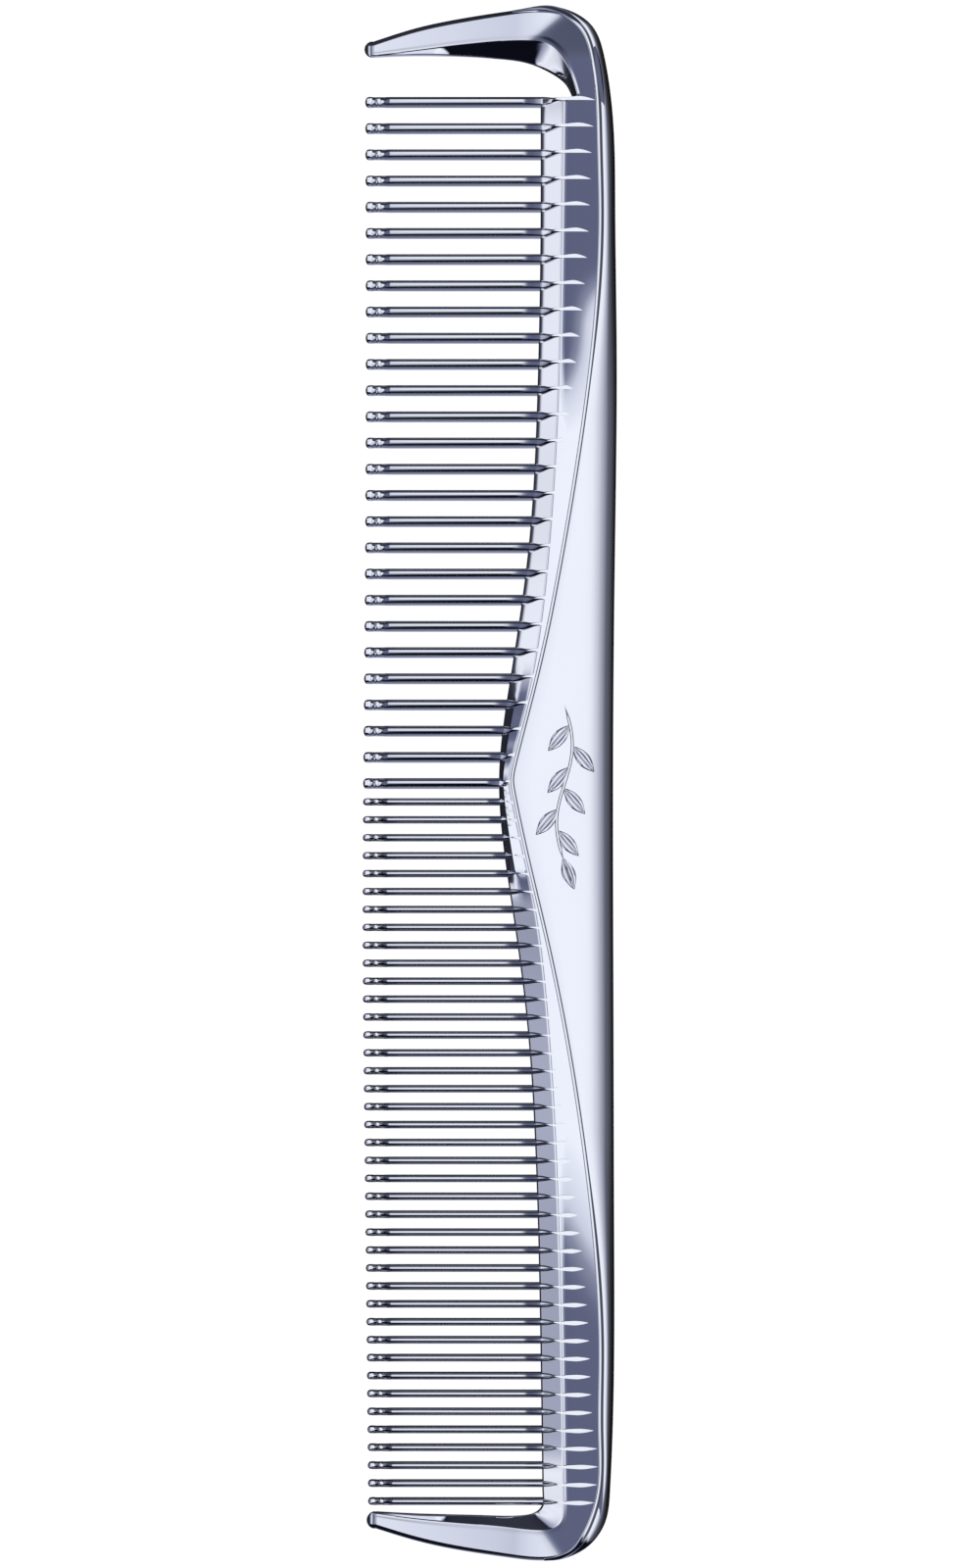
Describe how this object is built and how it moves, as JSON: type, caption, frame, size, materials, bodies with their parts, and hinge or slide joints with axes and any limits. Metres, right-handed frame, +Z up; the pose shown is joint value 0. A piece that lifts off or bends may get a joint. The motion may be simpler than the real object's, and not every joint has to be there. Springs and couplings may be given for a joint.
{
  "type": "hair comb",
  "caption": "Flat chrome-plated styling comb with a coarse half and a fine half of teeth, a guard at each end and a raised panel along its back.",
  "frame": {"origin": "on the plane the comb lies on, under the middle of its length and width", "axes": "+X along the length from the coarse half to the fine half, +Y across from the tooth tips to the back, +Z up from the resting face to the front face"},
  "size_m": [0.178, 0.0291, 0.0044],
  "materials": {
    "chrome_plating": "mirror polished, bright plating on a moulded plastic"
  },
  "bodies": {
    "root": {"spine_web": "chrome_plating", "front_panel": "chrome_plating", "back_panel": "chrome_plating", "coarse_end_guard": "chrome_plating", "fine_end_guard": "chrome_plating", "coarse_teeth": "chrome_plating", "fine_teeth": "chrome_plating", "front_ornament": "chrome_plating"}
  },
  "joints": []
}
